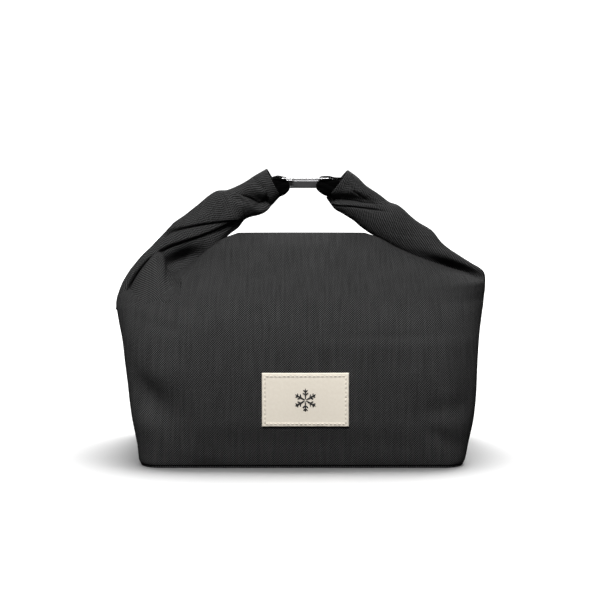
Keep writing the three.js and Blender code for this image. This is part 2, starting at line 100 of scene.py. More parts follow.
def make_stage():
    """A pale floor, a sky that is brightest overhead, and three soft boxes."""
    bpy.ops.mesh.primitive_plane_add(size=120)
    floor = bpy.context.object
    floor.name = "floor"
    paint = bpy.data.materials.new("floor")
    paint.use_nodes = True
    shader = paint.node_tree.nodes["Principled BSDF"]
    shader.inputs["Base Color"].default_value = (0.93, 0.93, 0.93, 1)
    shader.inputs["Emission Color"].default_value = (1, 1, 1, 1)
    nodes, links = paint.node_tree.nodes, paint.node_tree.links
    floor_place = nodes.new("ShaderNodeTexCoord")
    distance = nodes.new("ShaderNodeVectorMath")
    distance.operation = "LENGTH"
    glow = nodes.new("ShaderNodeMapRange")
    for socket, value in (("From Min", GLOW_START), ("From Max", GLOW_END), ("To Max", GLOW)):
        glow.inputs[socket].default_value = value
    links.new(floor_place.outputs["Object"], distance.inputs[0])
    links.new(distance.outputs["Value"], glow.inputs["Value"])
    links.new(glow.outputs[0], shader.inputs["Emission Strength"])
    shader.inputs["Roughness"].default_value = 0.9
    shader.inputs["Specular IOR Level"].default_value = 0
    floor.data.materials.append(paint)
    floor.visible_diffuse = False
    floor.visible_glossy = False

    world = bpy.data.worlds.new("studio")
    bpy.context.scene.world = world
    world.use_nodes = True
    tree = world.node_tree
    background = tree.nodes["Background"]
    coordinates = tree.nodes.new("ShaderNodeTexCoord")
    split = tree.nodes.new("ShaderNodeSeparateXYZ")
    ramp = tree.nodes.new("ShaderNodeValToRGB")
    stops = ramp.color_ramp.elements
    for index, (height, level) in enumerate(SKY):
        stop = stops[index] if index < 2 else stops.new(height)
        stop.position = height
        stop.color = (level, level, level, 1)
    tree.links.new(coordinates.outputs["Generated"], split.inputs[0])
    tree.links.new(split.outputs["Z"], ramp.inputs[0])
    tree.links.new(ramp.outputs["Color"], background.inputs["Color"])
    background.inputs["Strength"].default_value = SKY_STRENGTH

    for name, place, size, power, state in SOFT_BOXES:
        light = soft_box(name, place, size, power)
        linked = bpy.data.collections.new(light.name + "_floor")
        linked.objects.link(floor)
        light.light_linking.receiver_collection = linked
        linked.collection_objects[0].light_linking.link_state = state
    bpy.context.scene.view_settings.view_transform = "Standard"


# ---------- numbers ----------
def smooth(low, high, x):
    t = np.clip((x - low) / (high - low), 0, 1)
    return t * t * (3 - 2 * t)


def through(xs, ys, x):
    """A smooth curve through points that never swings past them."""
    xs, ys = np.asarray(xs, float), np.asarray(ys, float)
    step = np.diff(xs)
    slope = np.diff(ys) / step
    product, total = slope[:-1] * slope[1:], slope[:-1] + slope[1:]
    inner = np.where(product > 0, 2 * product / np.where(total == 0, 1, total), 0)
    tangent = np.concatenate([[slope[0]], inner, [slope[-1]]])
    i = np.clip(np.searchsorted(xs, x) - 1, 0, len(xs) - 2)
    t = np.clip((x - xs[i]) / step[i], 0, 1)
    return (ys[i] * (1 + 2 * t) * (1 - t) ** 2 + ys[i + 1] * t * t * (3 - 2 * t)
            + step[i] * (tangent[i] * t * (1 - t) ** 2 - tangent[i + 1] * t * t * (1 - t)))


def squared(wave, power):
    """A sine or cosine with fuller crests, for a section that is squarer than a circle."""
    return np.sign(wave) * np.abs(wave) ** power


def resample(line, count):
    """Points at even steps along a line of points."""
    line = np.asarray(line, float)
    length = np.concatenate([[0], np.cumsum(np.linalg.norm(np.diff(line, axis=0), axis=1))])
    at = np.linspace(0, length[-1], count)
    return np.stack([np.interp(at, length, line[:, k]) for k in range(line.shape[1])], axis=1)


def flowing(points, count):
    """A Catmull-Rom curve through rows of numbers, at even steps along the first three columns."""
    p = np.asarray(points, float)
    p = np.vstack([2 * p[0] - p[1], p, 2 * p[-1] - p[-2]])
    t = np.linspace(0, 1, 24, endpoint=False)[:, None]
    parts = []
    for a, b, c, d in zip(p, p[1:], p[2:], p[3:]):
        parts.append(0.5 * (2 * b + (c - a) * t + (2 * a - 5 * b + 4 * c - d) * t ** 2
                            + (3 * b - a - 3 * c + d) * t ** 3))
    return resample(np.vstack([*parts, p[-2:-1]]), count)


def make_waves(count, scale):
    """Seeded waves for slow unevenness, each with a direction, a length near scale and a phase."""
    direction = rng.normal(size=(count, 3))
    direction /= np.linalg.norm(direction, axis=1)[:, None]
    length = scale * rng.uniform(0.7, 1.5, count)
    return direction * (2 * math.pi / length)[:, None], rng.uniform(0, 2 * math.pi, count)


def uneven(points, waves):
    number, phase = waves
    return np.sin(points @ number.T + phase).mean(axis=-1) * 1.6


# ---------- mesh making ----------
def grid_normals(grid, closed):
    """Outward normals of a grid of points, rows going up and columns going round."""
    if closed:
        wide = np.concatenate([grid[:, -1:], grid, grid[:, :1]], axis=1)
        across = wide[:, 2:] - wide[:, :-2]
    else:
        across = np.gradient(grid, axis=1)
    up = np.gradient(grid, axis=0)
    normal = np.cross(across, up)
    return normal / np.maximum(np.linalg.norm(normal, axis=2, keepdims=True), 1e-9)


def object_from(name, points, faces, uv, material, body):
    """A smooth-shaded object in metres, from points in millimetres, that rides on a body."""
    mesh = bpy.data.meshes.new(name)
    mesh.from_pydata((np.asarray(points) * MM).tolist(), [], faces)
    layer = mesh.uv_layers.new(name="cloth")
    loops = np.zeros(len(mesh.loops), np.int32)
    mesh.loops.foreach_get("vertex_index", loops)
    layer.data.foreach_set("uv", (np.asarray(uv) * MM)[loops].astype(np.float32).ravel())
    mesh.polygons.foreach_set("use_smooth", np.ones(len(mesh.polygons), bool))
    mesh.validate()
    mesh.update()
    piece = bpy.data.objects.new(name, mesh)
    bpy.context.collection.objects.link(piece)
    mesh.materials.append(material)
    if body:
        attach(piece, body)
    return piece


def quads(rows, columns, start=0, closed=False):
    """Faces of a grid of points that is stored row by row."""
    r, c = np.meshgrid(np.arange(rows - 1), np.arange(columns if closed else columns - 1), indexing="ij")
    a = start + r * columns + c
    b = start + r * columns + (c + 1) % columns
    return np.stack([a, b, b + columns, a + columns], axis=-1).reshape(-1, 4)


def shell(name, outer, thickness, uv, material, body):
    """A closed plate of cloth: an outer grid, the same grid moved in, and their joined edges."""
    rows, columns = outer.shape[:2]
    inner = outer - grid_normals(outer, False) * thickness
    count = rows * columns
    index = np.arange(count).reshape(rows, columns)
    outside = quads(rows, columns)
    inside = quads(rows, columns, count)[:, ::-1]
    border = np.concatenate([index[0], index[1:, -1], index[-1, -2::-1], index[-2:0:-1, 0]])
    ahead = np.roll(border, -1)
    edge = np.stack([ahead, border, border + count, ahead + count], axis=-1)
    faces = np.vstack([outside, inside, edge]).tolist()
    points = np.vstack([outer.reshape(-1, 3), inner.reshape(-1, 3)])
    flat = np.vstack([uv.reshape(-1, 2)] * 2)
    return object_from(name, points, faces, flat, material, body)


def tube(name, rings, uv, material, body):
    """A closed solid through rings of points, its ends closed by fans."""
    rows, columns = rings.shape[:2]
    faces = quads(rows, columns, closed=True).tolist()
    points = rings.reshape(-1, 3)
    ends = [rings[0].mean(axis=0), rings[-1].mean(axis=0)]
    first, last = len(points), len(points) + 1
    top = (rows - 1) * columns
    for i in range(columns):
        j = (i + 1) % columns
        faces.append([first, j, i])
        faces.append([last, top + i, top + j])
    flat = np.vstack([uv.reshape(-1, 2), uv[0].mean(axis=0), uv[-1].mean(axis=0)])
    return object_from(name, np.vstack([points, ends]), faces, flat, material, body)


def grid_uv(grid, closed=False):
    """Lengths across and up a grid, for a weave that keeps its size."""
    across = np.linalg.norm(np.diff(grid, axis=1), axis=2)
    across = np.concatenate([np.zeros((len(grid), 1)), np.cumsum(across, axis=1)], axis=1)
    across = across - across.mean(axis=1, keepdims=True)
    up = np.linalg.norm(np.diff(grid, axis=0), axis=2).mean(axis=1)
    up = np.concatenate([[0], np.cumsum(up)])[:, None] * np.ones(grid.shape[1])
    return np.stack([across, up], axis=-1)


# ---------- materials ----------
class Paint:
    """A material's node tree, with short calls for the nodes that it needs."""

    def __init__(self, name, colour, roughness, metallic=0.0, **sockets):
        self.material = bpy.data.materials.new(name)
        self.material.use_nodes = True
        self.tree = self.material.node_tree
        self.shader = self.tree.nodes["Principled BSDF"]
        values = {"Base_Color": (*colour, 1), "Roughness": roughness, "Metallic": metallic, **sockets}
        for socket, value in values.items():
            self.shader.inputs[socket.replace("_", " ")].default_value = value

    def node(self, kind, inputs=(), **settings):
        made = self.tree.nodes.new("ShaderNode" + kind)
        for key, value in settings.items():
            setattr(made, key, value)
        for socket, value in dict(inputs).items():
            if isinstance(value, bpy.types.NodeSocket):
                self.tree.links.new(value, made.inputs[socket])
            else:
                made.inputs[socket].default_value = value
        return made

    def math(self, operation, a, b=0.0, c=0.5):
        return self.node("Math", {0: a, 1: b, 2: c}, operation=operation).outputs[0]

    def coordinates(self, kind, scale=(1, 1, 1), turn=0.0):
        source = self.node("TexCoord").outputs[kind]
        return self.node("Mapping", {"Vector": source, "Scale": scale, "Rotation": (0, 0, turn)}).outputs[0]

    def noise(self, vector, scale, detail=2.0):
        return self.node("TexNoise", {"Vector": vector, "Scale": scale, "Detail": detail}).outputs["Fac"]

    def ridges(self, vector, axis, pitch):
        """A wave from 0 to 1 along one axis, with its crests a pitch apart."""
        along = self.node("SeparateXYZ", {0: vector}).outputs[axis]
        turned = self.math("MULTIPLY", along, 2 * math.pi / pitch)
        return self.math("MULTIPLY_ADD", self.math("SINE", turned), 0.5, 0.5)

    def shade(self, amount, dark, light):
        """The base colour from dark to light as amount goes from 0 to 1."""
        mix = self.node("Mix", {0: amount}, data_type="RGBA")
        mix.inputs[6].default_value = (*dark, 1)
        mix.inputs[7].default_value = (*light, 1)
        self.tree.links.new(mix.outputs[2], self.shader.inputs["Base Color"])

    def rough(self, amount, low, high):
        ranged = self.node("MapRange", {"Value": amount, "To Min": low, "To Max": high}).outputs[0]
        self.tree.links.new(ranged, self.shader.inputs["Roughness"])

    def bump(self, height, distance, strength=1.0):
        made = self.node("Bump", {"Height": height, "Distance": distance, "Strength": strength})
        self.tree.links.new(made.outputs[0], self.shader.inputs["Normal"])


TWILL_PITCH = 1.65 * MM
TWILL_TURN = math.radians(38)
TWILL_DARK, TWILL_LIGHT = (0.0014, 0.0014, 0.0014), (0.0875, 0.0875, 0.0882)


def twill_material():
    """Dark polyester twill: diagonal ribs of crossing threads, and slubs along the warp."""
    paint = Paint("twill", (0.04, 0.04, 0.041), 0.9, Specular_IOR_Level=0.08)
    cloth = paint.coordinates("UV")
    ribs = paint.ridges(paint.coordinates("UV", turn=TWILL_TURN), 0, TWILL_PITCH)
    warp = paint.math("SUBTRACT", paint.ridges(cloth, 0, TWILL_PITCH), 0.5)
    weft = paint.math("SUBTRACT", paint.ridges(cloth, 1, TWILL_PITCH), 0.5)
    checks = paint.math("MULTIPLY_ADD", paint.math("MULTIPLY", warp, weft), 3.0, 0.5)
    slubs = paint.noise(paint.coordinates("UV", scale=(1, 0.05, 1)), 620, 3)
    patches = paint.noise(paint.coordinates("UV"), 45, 3)
    weave = paint.math("MULTIPLY_ADD", ribs, 0.2, checks)
    tone = paint.math("MULTIPLY_ADD", slubs, 0.45, weave)
    tone = paint.math("MULTIPLY_ADD", patches, 0.15, paint.math("SUBTRACT", tone, 0.56))
    paint.shade(tone, TWILL_DARK, TWILL_LIGHT)
    paint.rough(patches, 0.78, 0.92)
    paint.bump(paint.math("MULTIPLY_ADD", slubs, 0.3, weave), 0.0002, 0.9)
    return paint.material


def webbing_with_painted_shade_material():
    """Black nylon webbing with ribs across it, coloured far darker than black nylon: partly its own black,
    partly painted shade for the deep shade where it bunches at the ring.
    """
    paint = Paint("webbing", (0.003, 0.003, 0.003), 0.85, Specular_IOR_Level=0.03)
    vector = paint.coordinates("UV")
    ribs = paint.ridges(vector, 0, 0.0009)
    picks = paint.ridges(vector, 1, 0.0013)
    fuzz = paint.noise(vector, 900, 3)
    weave = paint.math("MULTIPLY", ribs, picks)
    # The near-black base colours are painted shade on top of the webbing's own black.
    paint.shade(paint.math("ADD", weave, paint.math("MULTIPLY", fuzz, 0.3)), (0.0003, 0.0003, 0.0003),
                (0.0024, 0.0024, 0.0024))
    paint.bump(paint.math("ADD", weave, paint.math("MULTIPLY", fuzz, 0.4)), 0.00018, 0.9)
    return paint.material


def cotton_material():
    """Unbleached plain-weave cotton with flecks."""
    paint = Paint("label_cotton", (0.8, 0.74, 0.65), 0.88, Sheen_Weight=0.05)
    vector = paint.coordinates("UV")
    warp = paint.ridges(vector, 0, 0.0007)
    weft = paint.ridges(vector, 1, 0.0008)
    fleck = paint.noise(vector, 500, 4)
    weave = paint.math("MULTIPLY", paint.math("ADD", warp, weft), 0.5)
    tone = paint.math("ADD", paint.math("MULTIPLY", weave, 0.5), paint.math("MULTIPLY", fleck, 0.5))
    paint.shade(tone, (0.80, 0.72, 0.60), (0.96, 0.90, 0.79))
    paint.bump(paint.math("ADD", weave, fleck), 0.0001, 0.5)
    return paint.material


def thread_material(name, colour):
    paint = Paint(name, colour, 0.7, Sheen_Weight=0.1)
    twist = paint.ridges(paint.coordinates("Object", turn=0.6), 0, 0.0004)
    paint.shade(twist, tuple(c * 0.75 for c in colour), colour)
    paint.bump(twist, 0.00008, 0.6)
    return paint.material


def foam_material():
    paint = Paint("foam", (0.8, 0.8, 0.77), 0.85)
    vector = paint.coordinates("Object")
    cells = paint.node("TexVoronoi", {"Vector": vector, "Scale": 900}).outputs["Distance"]
    stain = paint.noise(vector, 40, 3)
    paint.shade(paint.math("ADD", paint.math("MULTIPLY", cells, 0.6), paint.math("MULTIPLY", stain, 0.4)),
                (0.66, 0.66, 0.62), (0.86, 0.86, 0.83))
    paint.bump(cells, 0.0002, 0.5)
    return paint.material


def liner_material():
    """Silvered film with a fine crinkle."""
    paint = Paint("liner", (0.6, 0.61, 0.62), 0.35, 0.3)
    vector = paint.coordinates("Object")
    crinkle = paint.noise(vector, 160, 5)
    fine = paint.noise(vector, 900, 2)
    paint.shade(crinkle, (0.45, 0.46, 0.47), (0.72, 0.73, 0.74))
    paint.rough(fine, 0.25, 0.5)
    paint.bump(crinkle, 0.0006, 0.5)
    return paint.material


def board_material():
    paint = Paint("board", (0.7, 0.7, 0.66), 0.6)
    vector = paint.coordinates("Object")
    grain = paint.noise(vector, 300, 4)
    paint.shade(grain, (0.6, 0.6, 0.56), (0.76, 0.76, 0.72))
    paint.rough(grain, 0.5, 0.7)
    paint.bump(grain, 0.0001, 0.4)
    return paint.material


def steel_material(name, colour, roughness, scratch):
    """Steel with fine scratches along X."""
    paint = Paint(name, colour, roughness, 1.0)
    vector = paint.coordinates("Object", scale=(0.05, 1, 1))
    lines = paint.noise(vector, 2500, 3)
    smudge = paint.noise(paint.coordinates("Object"), 120, 3)
    paint.shade(paint.math("ADD", paint.math("MULTIPLY", lines, 0.6), paint.math("MULTIPLY", smudge, 0.4)),
                tuple(c * (1 - scratch) for c in colour), colour)
    paint.rough(smudge, roughness * 0.8, roughness * 1.3)
    paint.bump(lines, 0.00003, scratch)
    return paint.material


twill = twill_material()
webbing = webbing_with_painted_shade_material()
cotton = cotton_material()
foam = foam_material()
liner = liner_material()
board = board_material()
polished = steel_material("polished_steel", (0.8, 0.8, 0.81), 0.12, 0.12)
brushed = steel_material("brushed_steel", (0.23, 0.23, 0.235), 0.42, 0.4)
cream_thread = thread_material("cream_thread", (0.95, 0.89, 0.78))
black_thread = thread_material("black_thread", (0.02, 0.02, 0.02))

# ---------- the body's shape ----------
# Each level of the body: height, half width to the right and to the left, depth to the front and to
# the back, the share of them that the rounded corners take, and how far the faces stand out.
LEVELS = np.array([
    (0, 117.8, 117.2, 69.4, 69.8, 0.12, 0.22, 0),
    (4, 119.2, 118.8, 70.2, 70.6, 0.13, 0.24, 0.2),
    (15, 121, 120.4, 72, 72.4, 0.16, 0.27, 1.0),
    (35, 125, 124.4, 74.2, 74.2, 0.2, 0.34, 2.4),
    (64, 127.8, 127.6, 73.8, 73.6, 0.27, 0.42, 3.0),
    (86, 130.4, 130.8, 70.8, 70.4, 0.4, 0.56, 2.8),
    (105, 133.6, 136, 65.5, 63, 0.58, 0.82, 1.6),
    (112, 134.9, 137.6, 62.5, 58, 0.7, 0.9, 1.2),
    (117, 135.6, 137, 60, 52, 0.8, 0.96, 0.8),
    (122, 136.2, 130, 57, 45, 0.88, 0.96, 0.4),
    (127, 136.4, 117, 53, 37, 0.95, 0.96, 0),
    (132, 127, 101, 49, 23, 1, 0.96, 0),
    (138, 108, 86, 43, 2.4, 1, 0.96, 0),
    (145, 88, 76.5, 34, 1.9, 1, 0.96, 0),
    (153, 69.5, 66.5, 22, 1.9, 1, 0.96, 0),
    (160, 57, 56, 9.5, 1.9, 1, 0.96, 0),
    (163.5, 47, 47, 1.9, 1.9, 1, 0.96, 0),
])
CREST = LEVELS[-1, 0]
FABRIC = 1.2
SEAM_ROOM = 0.15  # each half stands off the side seams' plane by this


def half_section(z, back, inset, count):
    """Half of the body's section, from the right seam to the left one, at even steps."""
    right, left, front, rear, corner_width, corner_depth, crown = (
        through(LEVELS[:, 0], LEVELS[:, k], z) for k in range(1, 8))
    depth = (rear if back else front) - inset
    turn = np.linspace(0, math.pi / 2, 60)

    def corner(width):
        x = width - width * corner_width * (1 - np.cos(turn))
        return np.stack([x, depth - depth * corner_depth * (1 - np.sin(turn))], axis=1)

    near, far = corner(right - inset), corner(left - inset) * (-1, 1)
    share = np.linspace(0, 1, 80)[1:-1]
    face = np.stack([near[-1, 0] + (far[-1, 0] - near[-1, 0]) * share,
                     depth + crown * np.sin(math.pi * share) ** 2], axis=1)
    run = np.vstack([[near[0, 0], 0], near, face, far[::-1], [far[0, 0], 0]])
    even = resample(run, count)
    side = 1 if back else -1
    return np.stack([even[:, 0], side * (even[:, 1] + SEAM_ROOM), np.full(count, z)], axis=1)


def half_wall(back, bottom, top, inset, rows, columns):
    """A grid over half of the body's wall, its rows evenly spaced along the face's middle."""
    z = np.linspace(bottom, top, 600)
    depth = through(LEVELS[:, 0], LEVELS[:, 4 if back else 3], z)
    heights = resample(np.stack([z, depth], axis=1), rows)[:, 0]
    return np.stack([half_section(level, back, inset, columns) for level in heights])


def outward(grid, back):
    """A half wall turned so that its columns go counter-clockwise seen from above."""
    return grid[:, ::-1] if not back else grid


# Soft hollows pressed into the front: middle, half sizes, depth and turn.
SHOULDER_CREASE = ((-99, 122), (4.5, 15), 1.2, 0.3)
FRONT_HOLLOWS = [
    ((-110, 51), (26, 13), 7.5, -0.66),
    ((-70, 62), (13, 62), -1.6, 0),
    ((-104, 103), (22, 3.6), 1.1, -0.2),
    SHOULDER_CREASE,
    ((104, 43), (25, 8), 2.0, 0.14),
    ((101, 23), (21, 6), 1.5, -0.55),
    ((122, 66), (14, 26), 2.4, 0),
    ((0, 22), (95, 9), 0.5, 0),
    ((74, 96), (50, 3), 0.7, 0),
    ((74, 88), (50, 8), -0.6, 0),
    ((-34, 148), (16, 4), 0.7, 0),
    ((8, 112), (60, 9), 0.7, 0),
]
slow_waves = make_waves(9, 85)
quick_waves = make_waves(9, 34)


def dent(across, up, hollow):
    """How deep a hollow is at a place."""
    (cx, cz), (rx, rz), depth, turn = hollow
    dx, dz = across - cx, up - cz
    u = (dx * math.cos(turn) + dz * math.sin(turn)) / rx
    v = (dz * math.cos(turn) - dx * math.sin(turn)) / rz
    return depth * np.exp(-(u * u + v * v))


def slack(grid):
    """The cloth's unevenness."""
    return uneven(grid, slow_waves) * 0.9 + uneven(grid, quick_waves) * 0.22


def slumped(grid, back):
    """The wall with its hollows, its unevenness and the pull of its seams."""
    normal = grid_normals(outward(grid, back), False)
    normal = outward(normal, back)
    x, z = grid[..., 0], grid[..., 2]
    fade = smooth(0, 10, z) * smooth(CREST, CREST - 10, z)
    out = slack(grid) * fade
    facing = smooth(0.25, 0.85, np.abs(normal[..., 1])) * fade
    for hollow in FRONT_HOLLOWS:
        out -= dent(-x if back else x, z, hollow) * facing
    seam = np.abs(grid[..., 1])
    out -= 0.9 * np.exp(-(seam / 1.6) ** 2) * smooth(CREST - 30, CREST - 60, z)
    out -= 0.35 * np.exp(-((z - 1.5) / 1.6) ** 2)
    return grid + normal * out[..., None]


WALL_ROWS, WALL_COLUMNS = 150, 230


def make_panels():
    for name, back in (("front_panel", False), ("back_panel", True)):
        grid = half_wall(back, 1.5, CREST, 0, WALL_ROWS, WALL_COLUMNS)
        grid = outward(slumped(grid, back), back)
        uv = grid_uv(grid)
        for row, across in zip(grid, uv[..., 0]):
            across -= np.interp(0, -row[:, 0] if back else row[:, 0], across)
        piece = shell(name + "_cloth", grid, FABRIC, uv, twill, "bag")
        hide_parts(name)


SLAB_COLUMNS = 200  # points along each half of a base plate's outline


def rounded_slab(name, bottom, thickness, inset, edge, material):
    """A plate with the body's outline and softly rounded edges."""
    rings = [(share, 0, 0) for share in np.linspace(0.04, 1, 24)]
    for turn in np.linspace(0, math.pi, 9)[1:-1]:
        rings.append((1, edge * (1 - math.sin(turn)), thickness / 2 * (1 - math.cos(turn))))
    rings += [(share, 0, thickness) for share in np.linspace(1, 0.04, 24)]
    grid = []
    for share, inward, up in rings:
        flat_rim = share == 1 and inward == 0
        room = inset + inward + edge * flat_rim
        front = half_section(bottom, False, room, SLAB_COLUMNS)[::-1]
        ring = np.vstack([front, half_section(bottom, True, room, SLAB_COLUMNS)])
        ring[:, :2] *= share
        ring[:, 2] = bottom + up
        grid.append(ring)
    grid = np.array(grid)
    return tube(name, grid, grid[..., :2], material, "bag")


def make_base():
    low, high = (corner * 1000 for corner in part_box("base_board"))
    piece = rounded_slab("base_cloth", 0, 1.35, 0.2, 0.6, twill)
    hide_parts("base_panel")
    piece = rounded_slab("base_stiffener", low.z, high.z - low.z, 1.8, 0.5, board)
    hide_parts("base_board")
    low, high = (corner * 1000 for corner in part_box("base_foam"))
    piece = rounded_slab("base_padding", low.z, high.z - low.z, 2.2, 1.6, foam)
    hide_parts("base_foam")


LINING_TOP = 117
FOAM_INSET = 2.4
FOAM = 3.4
LINER_INSET = 6.6
LINER = 0.6


def make_lining():
    """Foam and film inside the walls, dented with the cloth over them."""
    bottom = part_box("front_foam")[0].z * 1000
    for side, back in (("front", False), ("back", True)):
        grid = half_wall(back, bottom, LINING_TOP, FOAM_INSET, 70, 120)
        grid = outward(slumped(grid, back), back)
        room = np.sign(grid[..., 1]) * np.maximum(np.abs(grid[..., 1]), 2.2)
        grid[..., 1] = room
        piece = shell(side + "_padding", grid, FOAM, grid_uv(grid), foam, "bag")
        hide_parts(side + "_foam")
    rings = []
    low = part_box("liner")[0].z * 1000
    levels = np.linspace(low, LINING_TOP, 60)
    walls = [(z, LINER_INSET) for z in levels] + [(z, LINER_INSET + LINER) for z in levels[::-1]]
    for share in np.linspace(0.05, 1, 14)[:-1]:
        rings.append((low, LINER_INSET, share))
    rings += [(z, inset, 1) for z, inset in walls[:-1]]
    for share in np.linspace(1, 0.05, 14):
        rings.append((low + LINER, LINER_INSET + LINER, share))
    grid = []
    for z, inset, share in rings:
        front = slumped_ring(z, inset)
        front[:, :2] *= share
        front[:, 2] = z
        grid.append(front)
    piece = tube("liner_film", np.array(grid), grid_uv(np.array(grid)), liner, "bag")
    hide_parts("liner")
    for name, sign in (("left_seam_binding", -1), ("right_seam_binding", 1)):
        rows = []
        for z in np.linspace(low, LINING_TOP, 80):
            width = through(LEVELS[:, 0], LEVELS[:, 1 if sign > 0 else 2], z) - FOAM_INSET - 0.3
            turn = np.linspace(0, 2 * math.pi, 12, endpoint=False)
            x = sign * (width - 1.7 - 1.7 * np.cos(turn))
            rows.append(np.stack([x, -sign * 1.3 * np.sin(turn), np.full(12, z)], axis=1))
        grid = np.array(rows)
        piece = tube(name + "_tape", grid, grid_uv(grid), webbing, "bag")
        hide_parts(name)


def slumped_ring(z, inset):
    """The whole section at a height, dented like the cloth outside it."""
    parts = []
    for back in (False, True):
        levels = np.array([max(z - 1, 0), z, z + 1])
        grid = np.stack([half_section(level, back, inset, 90) for level in levels])
        parts.append(outward(slumped(grid, back), back)[1])
    return np.vstack(parts)


# ---------- handle arms ----------
# Each arm's stations, from the shoulder to the ring: lower edge x and z, upper edge x and z, the
# middle's y, and how far the front and the back stand from it.
LEFT_STATIONS = [
    (-127, 104, -138.0, 107, -5, 5, 8),
    (-125, 115, -136.6, 117.9, -5, 6.5, 9),
    (-119, 125, -131.0, 130.3, -2, 7.5, 9),
    (-111, 132, -120.0, 144.9, 2, 8.5, 9),
    (-102, 129, -109.0, 155.3, 5.5, 9.5, 8),
    (-86, 129, -100, 164.6, 7.5, 10.5, 9),
    (-68, 144, -87.6, 175.1, 9, 11, 9.5),
    (-55.5, 159.3, -74.3, 185.7, 10, 11.5, 10.5),
    (-47.1, 166.4, -64, 193.1, 10, 12, 11.5),
    (-41.5, 172.8, -54.5, 194.5, 10, 12.5, 12),
    (-31.6, 176.2, -44.2, 199.2, 10, 12.5, 12.5),
    (-25.2, 180, -35.3, 204.8, 10, 13.5, 13.5),
    (-15.4, 189.6, -26.3, 209.8, 10, 14.8, 14.8),
]
RIGHT_STATIONS = [
    (130, 118, 135.6, 121.4, 0, 4, 7),
    (129, 125.5, 136.8, 128.6, 1, 5, 8),
    (125, 129.5, 134.4, 135.8, 3, 6, 8.5),
    (112, 133, 121.3, 143.8, 6, 7.5, 9),
    (98, 136.5, 106.2, 153.3, 8, 9, 9),
    (86, 142, 97, 164, 9.5, 10, 9.5),
    (71, 150.5, 85.5, 171.8, 10, 11, 10),
    (55, 159.6, 73.4, 181.9, 10, 12, 11),
    (45.8, 165.4, 65.5, 185.2, 10, 12, 11.5),
    (38.7, 171.4, 57.5, 191.6, 10, 12.5, 12),
    (31.2, 176.3, 48.9, 197.5, 10, 12.5, 12.5),
    (24.5, 180.4, 42, 203.6, 10, 13.5, 13.5),
    (18.8, 188, 34.7, 208.6, 10, 14.8, 14.8),
]
ARM_ROWS, ARM_COLUMNS = 300, 200
ARM_POWER = 0.76  # below 1 the section is fuller than an ellipse

# Folds on an arm's front or back. Each has its line's points x and z; the crease's depth and width;
# how far the layer to the line's left stands over it, and its reach; how far the other layer dips,
# and its reach; and the shares of the line over which its start and its end die out.
LEFT_FOLDS = {
    "front": [
        ([(-105, 159), (-97.7, 163.9), (-86, 167), (-73.8, 169.4), (-58, 171.6), (-42, 173)],
         1.9, 0.7, 1.2, 11, 1.1, 6, (0.1, 0.02)),
        ([(-107.5, 148.4), (-98, 153.2), (-88, 156.6), (-71.8, 161.9), (-58, 167.4), (-45, 173)],
         2.6, 0.8, 1.3, 8, 2.3, 9, (0.08, 0.02)),
        ([(-22, 184), (-27, 182.6), (-31.5, 182.6), (-35.5, 185.8), (-40.8, 190.1), (-47, 193),
          (-53.5, 194.6)], 2.0, 1.1, 1.6, 8, 5.2, 7, (0.04, 0.42)),
        ([(-54, 190.8), (-46, 188.6), (-39, 184.6)], 1.6, 2.0, 0, 1, 0, 1, (0.4, 0.3)),
        ([(-91, 170), (-80, 178), (-66, 186.5)], 1.5, 3.8, 0, 1, 0, 1, (0.3, 0.3)),
        ([(-130, 118.5), (-124.5, 129.5), (-119.9, 135.9), (-109, 147.5)],
         4.2, 1.3, 0.8, 5, 1.6, 5, (0.3, 0.2)),
        ([(-38, 206), (-32, 199), (-25, 196)], 0.9, 2.2, 0, 1, 0, 1, (0.3, 0.2)),
    ],
    "back": [
        ([(-112, 146), (-96, 156), (-80, 163), (-62, 171)], 1.8, 0.8, 1.2, 10, 1.2, 6, (0.15, 0.1)),
        ([(-100, 164), (-84, 168), (-68, 176), (-60, 183)], 1.8, 0.7, 1.2, 8, 1.0, 6, (0.15, 0.2)),
        ([(-45, 174), (-46, 180), (-49, 187), (-56, 191)], 1.8, 1.1, 3.4, 7, 1.2, 7, (0.1, 0.4)),
    ],
}
RIGHT_FOLDS = {
    "front": [
        ([(68, 183.4), (57, 185.2), (41.4, 186.1), (31, 185.6), (19.5, 184.6)], 1.6, 0.8, 0.9, 1.6, 5.4, 5.5,
         (0.32, 0.02)),
        ([(20, 183.3), (34, 182.9), (46.2, 181.8), (60, 179.8), (72, 177.2)], 2.0, 0.75, 0.4, 1.2, 0.6, 4,
         (0.02, 0.5)),
        ([(37.5, 195.6), (44, 191.8), (51, 187.6)], 1.6, 0.7, 0.5, 5, 0.9, 5, (0.3, 0.3)),
        ([(30, 200.5), (37, 197.5), (43, 192)], 0.8, 2.4, 0, 1, 0, 1, (0.3, 0.3)),
    ],
    "back": [
        ([(112, 144), (96, 150), (80, 160), (64, 168)], 1.7, 0.8, 1.2, 10, 1.1, 6, (0.15, 0.1)),
        ([(96, 160), (80, 165), (62, 174), (52, 184)], 1.7, 0.8, 1.2, 8, 1.0, 6, (0.15, 0.2)),
        ([(32, 182), (42, 185), (50, 190), (55, 193)], 1.6, 0.9, 1.6, 6, 3.2, 6, (0.1, 0.4)),
    ],
}
# Broad hollows on an arm's front: middle, half sizes, depth and turn.
LEFT_POCKETS = [
    ((-89.5, 142.6), (15, 6.4), 12, 0.4),
    ((-30, 186.5), (7, 4.5), 3.0, -0.5),
    ((-52, 168.4), (9, 2.2), 2.6, 0.5),
]
RIGHT_POCKETS = [
    ((115, 135.8), (21, 4.6), 11, -0.33),
    ((40, 188.5), (15, 3.2), 2.6, -0.04),
]


